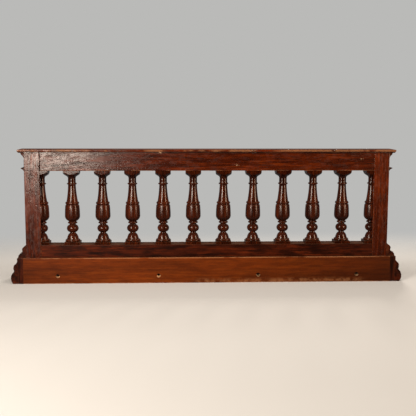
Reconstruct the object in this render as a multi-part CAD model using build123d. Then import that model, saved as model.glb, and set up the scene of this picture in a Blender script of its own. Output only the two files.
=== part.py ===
from build123d import *
import os

# Wooden balustrade: turned balusters between two posts, a moulded cap above and a moulded base below.
# X runs along it, -Y is its plain front, +Y its moulded back, Z is up and the floor is at zero.
# All lengths are in millimetres.

# Setting out along the length and through the depth
baluster_spacing = 210.0
bay_count = 11
post_width = 104.0
body_depth = 115.0

# Heights of the courses, from the floor up
plinth_height = 179.0
sill_height = 88.0
baluster_height = 514.0
frieze_height = 130.0
cap_thickness = 15.0

# Cap board: a round nose over the ends and the back, a small lip over the plain front
cap_overhang = 44.0
cap_nose_reach = 7.0
cap_front_lip = 8.0
cap_lip_radius = 3.0

# Cornice: an ogee below a soffit and a fillet, under the cap's overhang
cornice_height = 40.0
cornice_projection = 39.0
cornice_fillet = 6.0
cornice_soffit_rise = 2.0
cornice_crown = 20.0
cornice_foot = 2.0
cornice_swell_share = 0.12

# Neck moulding: a cavetto with a fillet above it, along the foot of the frieze
neck_moulding_height = 20.0
neck_moulding_projection = 21.0
neck_moulding_fillet = 6.0
neck_moulding_foot = 2.0
neck_moulding_hollow_share = 0.14

# Upper base moulding: a sloped bead, a quirk and an ovolo, beside the sill
base_cap_projection = 56.0
base_cap_foot = 3.5
base_cap_ovolo_height = 25.5
base_cap_ovolo_projection = 42.5
base_cap_quirk_projection = 25.5
base_cap_quirk_height = 18.0
base_cap_step = 3.0
base_cap_bead_projection = 27.0
base_cap_bead_fillet = 11.0
base_cap_ovolo_share = 0.1
base_cap_bead_share = 0.06

# Lower base moulding: a fillet, an ogee, a band and a torus, on blocks of a set thickness
base_block_thickness = 56.0
base_block_setback = 3.0
base_projection = 49.0
base_fillet_projection = 4.0
base_fillet_height = 21.0
base_ogee_height = 40.0
base_band_projection = 30.0
base_band_height = 18.0
base_hollow_height = 16.0
base_torus_root = 28.0
base_torus_foot = 35.0
base_torus_belly = 40.0
base_ogee_share = 0.1
base_hollow_share = 0.15

# Plinth board fixed over the foot of the plain front, with counterbored fixing holes
plinth_board_thickness = 22.0
plinth_board_overhang = 19.0
fixing_count = 4
fixing_spacing = 695.0
fixing_height = 53.5
fixing_hole_radius = 6.5
fixing_bore_radius = 14.0
fixing_bore_depth = 9.0

# Baluster, turned from a square billet: its members from the sill up
billet_width = 107.0
block_height = 17.5
torus_height = 16.5
torus_radius = 51.5
bell_height = 37.0
bell_radius = 40.5
bell_top_radius = 27.5
bell_cove_height = 8.0
neck_radius = 19.5
lower_neck_height = 4.0
ball_height = 53.0
ball_radius = 40.6
upper_neck_height = 8.0
upper_neck_radius = 21.5
ring_height = 11.5
ring_radius = 33.0
vase_foot_radius = 26.0
vase_foot_height = 5.0
vase_bowl_height = 32.5
vase_radius = 52.0
vase_wall_height = 76.0
vase_shoulder_radius = 48.2
vase_shoulder_height = 9.0
groove_radius = 43.0
groove_height = 5.0
collar_height = 11.5
collar_radius = 47.5
shaft_foot_radius = 39.5
shaft_top_radius = 26.2
astragal_height = 10.5
astragal_radius = 34.0
capital_neck_height = 28.0
capital_neck_radius = 26.5
capital_cove_height = 18.0
echinus_height = 31.0
echinus_radius = 32.5
abacus_height = 10.5

# How far each round member swells beyond its chord
half_round_share = 0.5
bell_swell_share = 0.07
vase_bowl_share = 0.135
vase_wall_share = 0.014
vase_shoulder_share = 0.2
shaft_hollow_share = -0.018
cove_hollow_share = 0.12
echinus_share = 0.02
corner_share = 0.72

# Joinery: round tenons on the balusters, square tenons on the two rails
peg_radius = 17.0
peg_length = 28.0
tenon_length = 55.0
tenon_thickness = 38.0
tenon_shoulder = 16.0
joint_clearance = 0.3
socket_floor_gap = 1.5
cut_overrun = 10.0

# Places worked out from the sizes above
half_bays = bay_count * baluster_spacing / 2
post_outer = half_bays + post_width
sill_bottom = plinth_height
sill_top = sill_bottom + sill_height
frieze_bottom = sill_top + baluster_height
frieze_top = frieze_bottom + frieze_height
total_depth = plinth_board_thickness + body_depth + base_block_thickness + base_projection
plinth_front = -total_depth / 2
front_face = plinth_front + plinth_board_thickness
back_face = front_face + body_depth
axis_y = (front_face + back_face) / 2
block_outer = post_outer + base_block_thickness
block_back = back_face + base_block_thickness
block_front = plinth_front + base_block_setback
lip_front = front_face - cap_front_lip
board_end = post_outer + plinth_board_overhang
corner_radius = billet_width * corner_share
baluster_places = [i * baluster_spacing - half_bays for i in range(1, bay_count)]


class Outline:
    """An outline drawn from point to point, straight or bowed to the right of its direction."""

    def __init__(self, across, up):
        self.first = self.at = (across, up)
        self.edges = []

    def line(self, across, up):
        self.edges.append(Line(self.at, (across, up)))
        self.at = (across, up)
        return self

    def bow(self, across, up, swell_share):
        from_across, from_up = self.at
        run, rise = across - from_across, up - from_up
        middle = (from_across + run / 2 + rise * swell_share, from_up + rise / 2 - run * swell_share)
        self.edges.append(ThreePointArc(self.at, middle, (across, up)))
        self.at = (across, up)
        return self

    def ogee(self, across, up, swell_share):
        from_across, from_up = self.at
        self.bow((from_across + across) / 2, (from_up + up) / 2, swell_share)
        return self.bow(across, up, -swell_share)

    def face(self):
        self.line(*self.first)
        return make_face(Curve() + self.edges)


def upright_share(run, rise):
    """How far an arc swells beyond its chord when it stands upright at one end."""
    return ((run**2 + rise**2) ** 0.5 - rise) / (2 * run)


def slab(x_range, y_range, z_range):
    """A plain timber between two limits along each axis."""
    sizes = [high - low for low, high in (x_range, y_range, z_range)]
    corner = (x_range[0], y_range[0], z_range[0])
    return Pos(*corner) * Box(*sizes, align=(Align.MIN, Align.MIN, Align.MIN))


def tenon(side, rail_bottom, rail_height, gap, floor_gap):
    """The square tenon at one end of a rail, or with gaps the mortise that takes it."""
    near, far = half_bays, half_bays + tenon_length + floor_gap
    half_thick = tenon_thickness / 2 + gap
    heights = (rail_bottom + tenon_shoulder - gap, rail_bottom + rail_height - tenon_shoulder + gap)
    x_range = sorted((side * near, side * far))
    return slab(x_range, (axis_y - half_thick, axis_y + half_thick), heights)


def post(side):
    """An end post from the floor to the cap, mortised for both rails."""
    body = slab(sorted((side * half_bays, side * post_outer)), (front_face, back_face), (0, frieze_top))
    for bottom, height in ((sill_bottom, sill_height), (frieze_bottom, frieze_height)):
        body -= tenon(side, bottom, height, joint_clearance, socket_floor_gap)
    return body


def rail(bottom, height, socket_level, socket_direction):
    """A rail tenoned between the posts, bored for the pegs of the balusters."""
    body = slab((-half_bays, half_bays), (front_face, back_face), (bottom, bottom + height))
    for side in (-1, 1):
        body += tenon(side, bottom, height, 0, 0)
    depth = peg_length + socket_floor_gap
    middle = socket_level + socket_direction * depth / 2
    for x in baluster_places:
        body -= Pos(x, axis_y, middle) * Cylinder(peg_radius + joint_clearance, depth)
    return body


def baluster_outline():
    """Half the turned outline of a baluster: across is the radius, up runs from the sill."""
    up = block_height
    outline = Outline(0, 0).line(corner_radius, 0).line(corner_radius, up)
    torus_root = torus_radius - torus_height / 2
    outline.line(torus_root, up)
    up += torus_height
    outline.bow(torus_root, up, half_round_share).line(bell_radius, up)
    up += bell_height
    outline.bow(bell_top_radius, up, bell_swell_share)
    up += bell_cove_height
    outline.bow(neck_radius, up, -cove_hollow_share)
    up += lower_neck_height
    outline.line(neck_radius, up)
    up += ball_height
    ball_swell = ball_radius - (neck_radius + upper_neck_radius) / 2
    outline.bow(upper_neck_radius, up, ball_swell / ball_height)
    up += upper_neck_height
    ring_root = ring_radius - ring_height / 2
    outline.line(upper_neck_radius, up).line(ring_root, up)
    up += ring_height
    outline.bow(ring_root, up, half_round_share).line(vase_foot_radius, up)
    up += vase_foot_height
    outline.line(vase_foot_radius, up)
    up += vase_bowl_height
    outline.bow(vase_radius, up, vase_bowl_share)
    up += vase_wall_height
    outline.bow(vase_shoulder_radius, up, vase_wall_share)
    up += vase_shoulder_height
    outline.bow(groove_radius, up, vase_shoulder_share)
    up += groove_height
    outline.line(groove_radius, up)
    up += collar_height
    outline.bow(groove_radius, up, (collar_radius - groove_radius) / collar_height)
    outline.line(shaft_foot_radius, up)
    capital_height = capital_neck_height + capital_cove_height + echinus_height + abacus_height
    up = baluster_height - capital_height - astragal_height
    outline.bow(shaft_top_radius, up, shaft_hollow_share)
    astragal_root = astragal_radius - astragal_height / 2
    outline.line(astragal_root, up)
    up += astragal_height
    outline.bow(astragal_root, up, half_round_share).line(capital_neck_radius, up)
    up += capital_neck_height
    outline.line(capital_neck_radius, up)
    up += capital_cove_height
    outline.bow(echinus_radius, up, -cove_hollow_share)
    up += echinus_height
    outline.bow(corner_radius, up, echinus_share)
    return outline.line(corner_radius, baluster_height).line(0, baluster_height)


def turned_baluster():
    """The lathe form within its square billet, standing on the sill at the middle of the length."""
    turned = revolve(Plane.XZ * baluster_outline().face(), Axis.Z)
    billet = Box(billet_width, billet_width, baluster_height, align=(Align.CENTER, Align.CENTER, Align.MIN))
    return Pos(0, axis_y, sill_top) * (turned & billet)


def whole_baluster(x):
    """A baluster with a peg at each end."""
    body = turned_baluster()
    for middle in (sill_top - peg_length / 2, frieze_bottom + peg_length / 2):
        body += Pos(0, axis_y, middle) * Cylinder(peg_radius, peg_length)
    return Pos(x, 0, 0) * body


def half_baluster(side):
    """A baluster split on its axis, its flat laid against the inner face of a post."""
    half_keep = Keep.TOP if side < 0 else Keep.BOTTOM
    return Pos(side * half_bays, 0, 0) * split(turned_baluster(), bisect_by=Plane.YZ, keep=half_keep)


def cornice_face():
    """Section of the cornice: across is out from the face behind it, up runs from its foot."""
    fillet_bottom = cornice_height - cornice_fillet
    outline = Outline(0, 0).line(cornice_foot, 0)
    outline.ogee(cornice_crown, fillet_bottom - cornice_soffit_rise, -cornice_swell_share)
    outline.line(cornice_projection, fillet_bottom).line(cornice_projection, cornice_height)
    return outline.line(0, cornice_height).face()


def neck_moulding_face():
    """Section of the neck moulding."""
    fillet_bottom = neck_moulding_height - neck_moulding_fillet
    outline = Outline(0, 0).line(neck_moulding_foot, 0)
    outline.bow(neck_moulding_projection, fillet_bottom, -neck_moulding_hollow_share)
    outline.line(neck_moulding_projection, neck_moulding_height)
    return outline.line(0, neck_moulding_height).face()


def base_cap_face():
    """Section of the upper base moulding, as tall as the sill."""
    outline = Outline(0, 0).line(base_cap_projection, 0).line(base_cap_projection, base_cap_foot)
    up = base_cap_foot + base_cap_ovolo_height
    outline.bow(base_cap_ovolo_projection, up, base_cap_ovolo_share)
    up += base_cap_step
    outline.line(base_cap_quirk_projection, up)
    up += base_cap_quirk_height
    outline.line(base_cap_quirk_projection, up)
    up += base_cap_step
    outline.line(base_cap_bead_projection, up)
    up += base_cap_bead_fillet
    outline.line(base_cap_bead_projection, up)
    return outline.bow(0, sill_height, base_cap_bead_share).face()


def base_face():
    """Section of the lower base moulding, as tall as the plinth."""
    ogee_top = plinth_height - base_fillet_height
    band_top = ogee_top - base_ogee_height
    band_bottom = band_top - base_band_height
    torus_top = band_bottom - base_hollow_height
    foot_share = upright_share(base_projection - base_torus_foot, base_torus_belly)
    root_share = upright_share(base_projection - base_torus_root, torus_top - base_torus_belly)
    outline = Outline(0, 0).line(base_torus_foot, 0)
    outline.bow(base_projection, base_torus_belly, foot_share).bow(base_torus_root, torus_top, root_share)
    outline.bow(base_band_projection, band_bottom, -base_hollow_share)
    outline.line(base_band_projection, band_top)
    outline.ogee(base_fillet_projection, ogee_top, base_ogee_share)
    return outline.line(base_fillet_projection, plinth_height).line(0, plinth_height).face()


def mitre(side, corner):
    """The upright plane that halves a rear corner, facing the end run."""
    corner_x, start_y, corner_y = corner
    return Plane(origin=(side * corner_x, corner_y, 0), z_dir=(side, -1, 0))


def end_run(face, side, corner, bottom, reach):
    """A moulding across one end, square at the front and mitred at the rear corner."""
    corner_x, start_y, corner_y = corner
    section = Plane(origin=(side * corner_x, start_y, bottom), x_dir=(side, 0, 0), z_dir=(0, -side, 0))
    run = extrude(section * face, amount=-side * (corner_y - start_y + reach + cut_overrun))
    return split(run, bisect_by=mitre(side, corner), keep=Keep.TOP)


def back_run(face, corner, bottom, reach):
    """A moulding along the back, mitred at both corners."""
    corner_x, start_y, corner_y = corner
    start = corner_x + reach + cut_overrun
    section = Plane(origin=(-start, corner_y, bottom), x_dir=(0, 1, 0), z_dir=(1, 0, 0))
    run = extrude(section * face, amount=2 * start)
    for side in (-1, 1):
        run = split(run, bisect_by=mitre(side, corner), keep=Keep.BOTTOM)
    return run


def moulding_runs(name, face, corner, bottom, reach):
    """The two end runs and the back run of one moulding, by node name."""
    runs = {f"{name}_back": back_run(face, corner, bottom, reach)}
    for side, side_name in ((-1, "left"), (1, "right")):
        runs[f"{name}_{side_name}"] = end_run(face, side, corner, bottom, reach)
    return runs


def cap_nose_face():
    """Section of the cap where it overhangs: flat, with a round nose."""
    flat = cap_overhang - cap_nose_reach
    outline = Outline(0, 0).line(flat, 0)
    outline.bow(flat, cap_thickness, cap_nose_reach / cap_thickness)
    return outline.line(0, cap_thickness).face()


def cap_board():
    """The cap: a board with an eased front lip, and its nosed overhang mitred round the other sides."""
    section = Rectangle(back_face - lip_front, cap_thickness)
    section = Pos((lip_front + back_face) / 2, cap_thickness / 2) * section
    section = fillet(section.vertices().group_by(Axis.X)[0], cap_lip_radius)
    body = extrude(Plane.YZ.offset(-post_outer) * section, amount=2 * post_outer)
    body = Pos(0, 0, frieze_top) * body
    nose_corner = (post_outer, lip_front, back_face)
    for run in moulding_runs("cap", cap_nose_face(), nose_corner, frieze_top, cap_overhang).values():
        body += run
    return body


def base_block(side):
    """A block beside the foot of a post, rebated round the end of the plinth board."""
    body = slab(sorted((side * post_outer, side * block_outer)), (block_front, back_face), (0, plinth_height))
    rebate_x = sorted((side * (post_outer - cut_overrun), side * board_end))
    rebate_y = (block_front - cut_overrun, front_face)
    return body - slab(rebate_x, rebate_y, (-cut_overrun, plinth_height + cut_overrun))


def fixing_hole():
    """The drilled form of a fixing hole: a through hole with a wider bore at the face."""
    hole = Cylinder(fixing_hole_radius, 2 * (plinth_board_thickness + cut_overrun))
    return hole + Cylinder(fixing_bore_radius, 2 * fixing_bore_depth)


def plinth_board():
    """The board over the foot of the front, with its row of counterbored fixing holes."""
    body = slab((-board_end, board_end), (plinth_front, front_face), (0, plinth_height))
    first = -fixing_spacing * (fixing_count - 1) / 2
    for i in range(fixing_count):
        place = Plane(origin=(first + i * fixing_spacing, plinth_front, fixing_height), z_dir=(0, -1, 0))
        body -= place * fixing_hole()
    return body


nodes = {
    "left_post": post(-1),
    "right_post": post(1),
    "sill_rail": rail(sill_bottom, sill_height, sill_top, -1),
    "frieze_rail": rail(frieze_bottom, frieze_height, frieze_bottom, 1),
    "cap_board": cap_board(),
    "half_baluster_left": half_baluster(-1),
    "half_baluster_right": half_baluster(1),
    "base_block_left": base_block(-1),
    "base_block_right": base_block(1),
    "base_block_back": slab((-block_outer, block_outer), (back_face, block_back), (0, plinth_height)),
    "front_plinth_board": plinth_board(),
}
for number, x in enumerate(baluster_places, start=1):
    nodes[f"baluster_{number:02d}"] = whole_baluster(x)
post_corner = (post_outer, front_face, back_face)
block_corner = (block_outer, block_front, block_back)
for name, face, corner, bottom, reach in (
    ("cornice", cornice_face(), post_corner, frieze_top - cornice_height, cornice_projection),
    ("neck_moulding", neck_moulding_face(), post_corner, frieze_bottom, neck_moulding_projection),
    ("base_cap_moulding", base_cap_face(), post_corner, sill_bottom, base_cap_projection),
    ("base_moulding", base_face(), block_corner, 0, base_projection),
):
    nodes.update(moulding_runs(name, face, corner, bottom, reach))

os.makedirs("parts", exist_ok=True)
for name, shape in nodes.items():
    export_step(shape, f"parts/{name}.step")
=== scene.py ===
import logging
import math
from dataclasses import dataclass
from enum import Enum
from typing import ClassVar

import bmesh
import bpy
import numpy as np
from mathutils import Matrix, Vector


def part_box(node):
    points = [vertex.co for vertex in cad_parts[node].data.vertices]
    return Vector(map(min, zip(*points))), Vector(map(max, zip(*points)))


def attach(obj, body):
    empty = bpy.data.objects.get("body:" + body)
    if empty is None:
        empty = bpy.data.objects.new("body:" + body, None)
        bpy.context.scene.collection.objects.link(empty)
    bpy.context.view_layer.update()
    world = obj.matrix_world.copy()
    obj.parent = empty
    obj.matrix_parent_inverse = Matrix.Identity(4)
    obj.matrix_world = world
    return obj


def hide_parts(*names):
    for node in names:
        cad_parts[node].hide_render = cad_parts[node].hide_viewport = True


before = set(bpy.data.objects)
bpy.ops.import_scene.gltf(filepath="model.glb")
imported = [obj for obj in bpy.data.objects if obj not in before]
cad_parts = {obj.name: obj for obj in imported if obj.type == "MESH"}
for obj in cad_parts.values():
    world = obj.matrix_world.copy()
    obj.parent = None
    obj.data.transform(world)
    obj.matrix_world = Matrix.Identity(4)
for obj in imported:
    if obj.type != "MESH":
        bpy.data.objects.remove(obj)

LOG = logging.getLogger("balustrade")
MM = 0.001
BODY = "root"
WEAR = "wear"
GRAIN = "grain"
TONE = "tone"
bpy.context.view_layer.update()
# The swell of half a circle.
HALF_ROUND = 0.5
# Heights above the whole piece, for a finish without a band.
NO_BAND = (2.0, 2.1, 2.2, 2.3)

Point = tuple[float, float]
Triple = tuple[float, float, float]
Colour = tuple[float, float, float, float]
Socket = bpy.types.NodeSocket

ORIGIN: Triple = (0.0, 0.0, 0.0)
ALONG_X: Triple = (1.0, 0.0, 0.0)
ALONG_Y: Triple = (0.0, 1.0, 0.0)
ALONG_Z: Triple = (0.0, 0.0, 1.0)


class Side(Enum):
    """The two ends of the balustrade, as the sign of X."""

    LEFT = -1
    RIGHT = 1

    @property
    def label(self) -> str:
        """The side's word in node names."""
        return self.name.lower()

    @property
    def out(self) -> Triple:
        """The way out of the balustrade at this end."""
        return (float(self.value), 0.0, 0.0)


class Grain(Enum):
    """The axis that the grain of a piece follows, then the two across it."""

    X = (0, 1, 2)
    Y = (1, 0, 2)
    Z = (2, 0, 1)


class Rays(Enum):
    """The rays that a lamp answers, as its diffuse and its glossy visibility."""

    SHADING = (True, False)
    SHINE = (False, True)


class Sort(Enum):
    """The kinds of socket that the node groups use."""

    FLOAT = "NodeSocketFloat"
    INT = "NodeSocketInt"
    BOOL = "NodeSocketBool"
    VECTOR = "NodeSocketVector"
    OBJECT = "NodeSocketObject"
    MATERIAL = "NodeSocketMaterial"
    GEOMETRY = "NodeSocketGeometry"


def floats(*names: str) -> dict[str, Sort]:
    """Gives a number socket for each name."""
    return {name: Sort.FLOAT for name in names}


def srgb(red: float, green: float, blue: float) -> Colour:
    """Gives the linear colour of a display colour.

    Args:
        red: Display red, 0 to 255.
        green: Display green, 0 to 255.
        blue: Display blue, 0 to 255.

    Returns:
        The linear red, green and blue, with full alpha.
    """
    shares = [value / 255 for value in (red, green, blue)]
    linear = [s / 12.92 if s <= 0.04045 else ((s + 0.055) / 1.055) ** 2.4 for s in shares]
    return (*linear, 1.0)


class NodeKit:
    """Adds nodes to one tree and links them."""

    def __init__(self, tree: bpy.types.NodeTree) -> None:
        """Takes the tree that the nodes go into."""
        self.tree = tree

    @classmethod
    def group(cls, name: str, kind: str, inputs: dict[str, Sort], outputs: dict[str, Sort]) -> "NodeKit":
        """Starts a node group with named sockets.

        Args:
            name: The group's name.
            kind: The tree's Blender type.
            inputs: The sort of each input by its name.
            outputs: The sort of each output by its name.

        Returns:
            A kit whose source and target hold the group's sockets.
        """
        tree = bpy.data.node_groups.new(name, kind)
        for in_out, sockets in (("INPUT", inputs), ("OUTPUT", outputs)):
            for label, sort in sockets.items():
                tree.interface.new_socket(label, in_out=in_out, socket_type=sort.value)
        kit = cls(tree)
        kit.source = tree.nodes.new("NodeGroupInput").outputs
        kit.target = tree.nodes.new("NodeGroupOutput").inputs
        return kit

    def feed(self, socket: Socket, value: object) -> None:
        """Links a socket to another one, or sets its value."""
        if isinstance(value, Socket):
            self.tree.links.new(value, socket)
        elif value is not None:
            socket.default_value = value

    def add(self, kind: str, *values: object, named: dict[str, object] | None = None,
            **settings: object) -> bpy.types.Node:
        """Adds a node.

        Args:
            kind: The node's Blender type.
            *values: What feeds its inputs, in their order.
            named: What feeds its inputs, by their names.
            **settings: The node's own properties.

        Returns:
            The new node.
        """
        node = self.tree.nodes.new(kind)
        for key, value in settings.items():
            setattr(node, key, value)
        for socket, value in zip(node.inputs, values):
            self.feed(socket, value)
        for key, value in (named or {}).items():
            self.feed(node.inputs[key], value)
        return node

    def math(self, operation: str, *values: object) -> Socket:
        """Adds a sum and gives its result."""
        return self.add("ShaderNodeMath", *values, operation=operation).outputs[0]

    def vector(self, operation: str, *values: object) -> Socket:
        """Adds a vector sum and gives its vector."""
        return self.add("ShaderNodeVectorMath", *values, operation=operation).outputs["Vector"]

    def scale(self, vector: object, factor: object) -> Socket:
        """Scales a vector by one number."""
        node = self.add("ShaderNodeVectorMath", vector, named={"Scale": factor}, operation="SCALE")
        return node.outputs["Vector"]

    def length(self, vector: object) -> Socket:
        """Gives the length of a vector."""
        return self.add("ShaderNodeVectorMath", vector, operation="LENGTH").outputs["Value"]

    def split(self, vector: object) -> tuple[Socket, ...]:
        """Gives the three numbers of a vector."""
        return tuple(self.add("ShaderNodeSeparateXYZ", vector).outputs)

    def join(self, x: object, y: object, z: object) -> Socket:
        """Makes a vector of three numbers."""
        return self.add("ShaderNodeCombineXYZ", x, y, z).outputs[0]

    def noise(self, vector: object, scale: object, detail: float = 2.0, rough: float = 0.5) -> Socket:
        """Adds a noise texture and gives its value, about 0.5 on average."""
        named = {"Vector": vector, "Scale": scale, "Detail": detail, "Roughness": rough}
        return self.add("ShaderNodeTexNoise", named=named).outputs[0]

    def step(self, value: object, low: object, high: object, out_low: object = 0.0,
             out_high: object = 1.0) -> Socket:
        """Maps a value smoothly from one range to another, held at its ends."""
        node = self.add("ShaderNodeMapRange", value, low, high, out_low, out_high,
                        interpolation_type="SMOOTHSTEP")
        return node.outputs[0]

    def band(self, value: object, limits: tuple[float, ...]) -> Socket:
        """Gives the mask of a band of values.

        Args:
            value: The value.
            limits: Where the band starts, is full, is still full and ends.

        Returns:
            The mask, from 0 to 1.
        """
        low, low_full, high_full, high = limits
        return self.math("MULTIPLY", self.step(value, low, low_full), self.step(value, high, high_full))

    def blend(self, share: object, first: object, second: object, mode: str = "MIX") -> Socket:
        """Mixes two colours.

        Args:
            share: How much of the second colour there is.
            first: The first colour.
            second: The second colour.
            mode: Blender's blend type.

        Returns:
            The mixed colour.
        """
        node = self.add("ShaderNodeMix", share, data_type="RGBA", blend_type=mode)
        self.feed(node.inputs[6], first)
        self.feed(node.inputs[7], second)
        return node.outputs[2]

    def ramp(self, share: object, stops: list[tuple[float, Colour]]) -> Socket:
        """Adds a colour ramp and gives its colour."""
        node = self.add("ShaderNodeValToRGB", share)
        elements = node.color_ramp.elements
        while len(elements) < len(stops):
            elements.new(0.5)
        for element, (place, colour) in zip(elements, stops):
            element.position, element.color = place, colour
        return node.outputs[0]

    def place_group(self, group: "NodeKit", named: dict[str, object]) -> bpy.types.Node:
        """Places a node group in this tree and feeds its inputs."""
        node = self.tree.nodes.new("ShaderNodeGroup")
        node.node_tree = group.tree
        for key, value in named.items():
            self.feed(node.inputs[key], value)
        return node


def bare_material(name: str) -> tuple[bpy.types.Material, NodeKit]:
    material = bpy.data.materials.new(name)
    material.use_nodes = True
    kit = NodeKit(material.node_tree)
    kit.tree.nodes.clear()
    return material, kit


@dataclass
class Profile:
    """An outline in millimetres, drawn with its inside on the left."""

    points: list[Point]
    corner_turn: ClassVar[float] = math.radians(24)
    full_wear: ClassVar[float] = math.radians(60)
    guard: ClassVar[float] = 5.0
    pitch: ClassVar[float] = 12.0
    trim_share: ClassVar[float] = 0.42

    def line(self, across: float, up: float, cuts: int = 1) -> "Profile":
        """Draws a straight stretch in a number of cuts and gives the outline."""
        from_across, from_up = self.points[-1]
        for i in range(1, cuts + 1):
            share = i / cuts
            there = (from_across + (across - from_across) * share, from_up + (up - from_up) * share)
            self.points.append(there)
        return self

    def bow(self, across: float, up: float, swell: float, cuts: int = 8) -> "Profile":
        """Draws an arc.

        Args:
            across: Where it ends, across.
            up: Where it ends, up.
            swell: How far it bows to its right, as a share of its chord.
            cuts: How many straight cuts it is drawn with.

        Returns:
            The outline.
        """
        start, end = np.array(self.points[-1]), np.array((across, up))
        run = end - start
        chord = float(np.hypot(*run))
        along, right = run / chord, np.array((run[1], -run[0])) / chord * math.copysign(1, swell)
        half = 2 * math.atan(2 * abs(swell))
        radius = chord / (2 * math.sin(half))
        for i in range(1, cuts + 1):
            turn = half * (2 * i / cuts - 1)
            there = along * (chord / 2 + radius * math.sin(turn))
            self.points.append(tuple(start + there + right * radius * (math.cos(turn) - math.cos(half))))
        return self

    def ogee(self, across: float, up: float, swell: float, cuts: int = 8) -> "Profile":
        """Draws two arcs that bow opposite ways and gives the outline."""
        from_across, from_up = self.points[-1]
        self.bow((from_across + across) / 2, (from_up + up) / 2, swell, cuts)
        return self.bow(across, up, -swell, cuts)

    def eased(self, radius: float, closed: bool = True, cuts: int = 3) -> "Profile":
        """Rounds the sharp corners.

        Args:
            radius: The rounding, where the sides beside it are long enough.
            closed: Whether the outline comes back to its start.
            cuts: How many cuts each rounding has.

        Returns:
            A new outline.
        """
        points = [np.array(p) for p in self.points]
        result: list[Point] = []
        for i, corner in enumerate(points):
            before, after = points[i - 1] - corner, points[(i + 1) % len(points)] - corner
            sizes = float(np.hypot(*before)), float(np.hypot(*after))
            turn = abs(self._turn(-before, after))
            if turn < self.corner_turn or (not closed and i in (0, len(points) - 1)):
                result.append(tuple(corner))
                continue
            trim = min(radius * math.tan(turn / 2), self.trim_share * min(sizes))
            start, end = corner + before / sizes[0] * trim, corner + after / sizes[1] * trim
            for j in range(cuts + 1):
                t = j / cuts
                result.append(tuple(start * (1 - t) ** 2 + corner * 2 * t * (1 - t) + end * t ** 2))
        return Profile(result)._guarded(closed)

    def _guarded(self, closed: bool) -> "Profile":
        """Adds points on long stretches, so that wear stays at the edges and ends can run unevenly."""
        result: list[Point] = []
        pairs = zip(self.points, self.points[1:] + self.points[:1])
        for i, (start, end) in enumerate(pairs):
            result.append(start)
            size = math.dist(start, end)
            if size < 3 * self.guard or (not closed and i == len(self.points) - 1):
                continue
            edge = self.guard / size
            for share in np.linspace(edge, 1 - edge, max(2, round(size / self.pitch))):
                result.append(tuple(a + (b - a) * share for a, b in zip(start, end)))
        return Profile(result)

    @staticmethod
    def _turn(first: np.ndarray, second: np.ndarray) -> float:
        """Gives the signed turn between two directions, left as positive."""
        return math.atan2(first[0] * second[1] - first[1] * second[0], float(first @ second))

    def wear(self, closed: bool, reach: float = 3.0) -> list[float]:
        """Gives how proud each point stands, from -1 in a tight hollow to 1 on a tight edge.

        Args:
            closed: Whether the outline comes back to its start.
            reach: How far along the outline to look, in millimetres.

        Returns:
            One number for each point.
        """
        points = np.array(self.points)
        count = len(points)
        steps = np.roll(points, -1, axis=0) - points
        sizes = np.hypot(steps[:, 0], steps[:, 1])
        turns = [0.0 if not closed and i in (0, count - 1) else self._turn(steps[i - 1], steps[i])
                 for i in range(count)]
        places = np.concatenate(([0.0], np.cumsum(sizes)[:-1]))
        whole = float(np.sum(sizes))
        gaps = np.abs(places[:, None] - places[None, :])
        if closed:
            gaps = np.minimum(gaps, whole - gaps)
        weights = np.clip(1.5 - gaps / reach, 0.0, 1.0)
        return list(np.clip(weights @ np.array(turns) / self.full_wear, -1.0, 1.0))

    def carrier(self, name: str, closed: bool = True, gain: float = 1.0) -> bpy.types.Object:
        """Makes an object whose points hold across, wear and up, for a tree to sample."""
        wear = self.wear(closed)
        return point_carrier(name, [(a * MM, w * gain, u * MM) for (a, u), w in zip(self.points, wear)])


def set_down(name: str, data: bpy.types.ID) -> bpy.types.Object:
    """Makes an object of a mesh, a lamp or a camera and links it to the scene."""
    thing = bpy.data.objects.new(name, data)
    bpy.context.scene.collection.objects.link(thing)
    return thing


def point_carrier(name: str, points: list[Triple]) -> bpy.types.Object:
    """Makes an object of bare points for a tree to sample."""
    mesh = bpy.data.meshes.new(name)
    mesh.from_pydata(points, [], [])
    return set_down(name, mesh)


def cutting_form(name: str, form: bmesh.types.BMesh, lining: bpy.types.Material) -> bpy.types.Object:
    """Makes an object of a closed form, whose material lines what it cuts."""
    mesh = bpy.data.meshes.new(name)
    form.to_mesh(mesh)
    form.free()
    mesh.materials.append(lining)
    return set_down(name, mesh)


def drop(thing: bpy.types.Object) -> None:
    """Removes an object and its mesh."""
    mesh = thing.data
    bpy.data.objects.remove(thing)
    bpy.data.meshes.remove(mesh)


def settle_mesh(thing: bpy.types.Object) -> None:
    """Turns what an object's modifiers give into its own plain mesh."""
    graph = bpy.context.evaluated_depsgraph_get()
    shown = thing.evaluated_get(graph)
    mesh = bpy.data.meshes.new_from_object(shown, preserve_all_data_layers=True, depsgraph=graph)
    old = thing.data
    thing.modifiers.clear()
    thing.data = mesh
    bpy.data.meshes.remove(old)
    mesh.name = thing.name


def grow(kit: NodeKit, name: str, settings: dict[str, object]) -> bpy.types.Object:
    """Grows a mesh from a geometry tree.

    Args:
        kit: The tree's kit.
        name: The new object's name.
        settings: The tree's inputs by name.

    Returns:
        The object, with a plain mesh.
    """
    thing = set_down(name, bpy.data.meshes.new(name))
    modifier = thing.modifiers.new("grow", "NODES")
    modifier.node_group = kit.tree
    for item in kit.tree.interface.items_tree:
        if item.in_out == "INPUT" and item.name in settings:
            modifier[item.identifier] = settings[item.name]
    settle_mesh(thing)
    return thing


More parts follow.
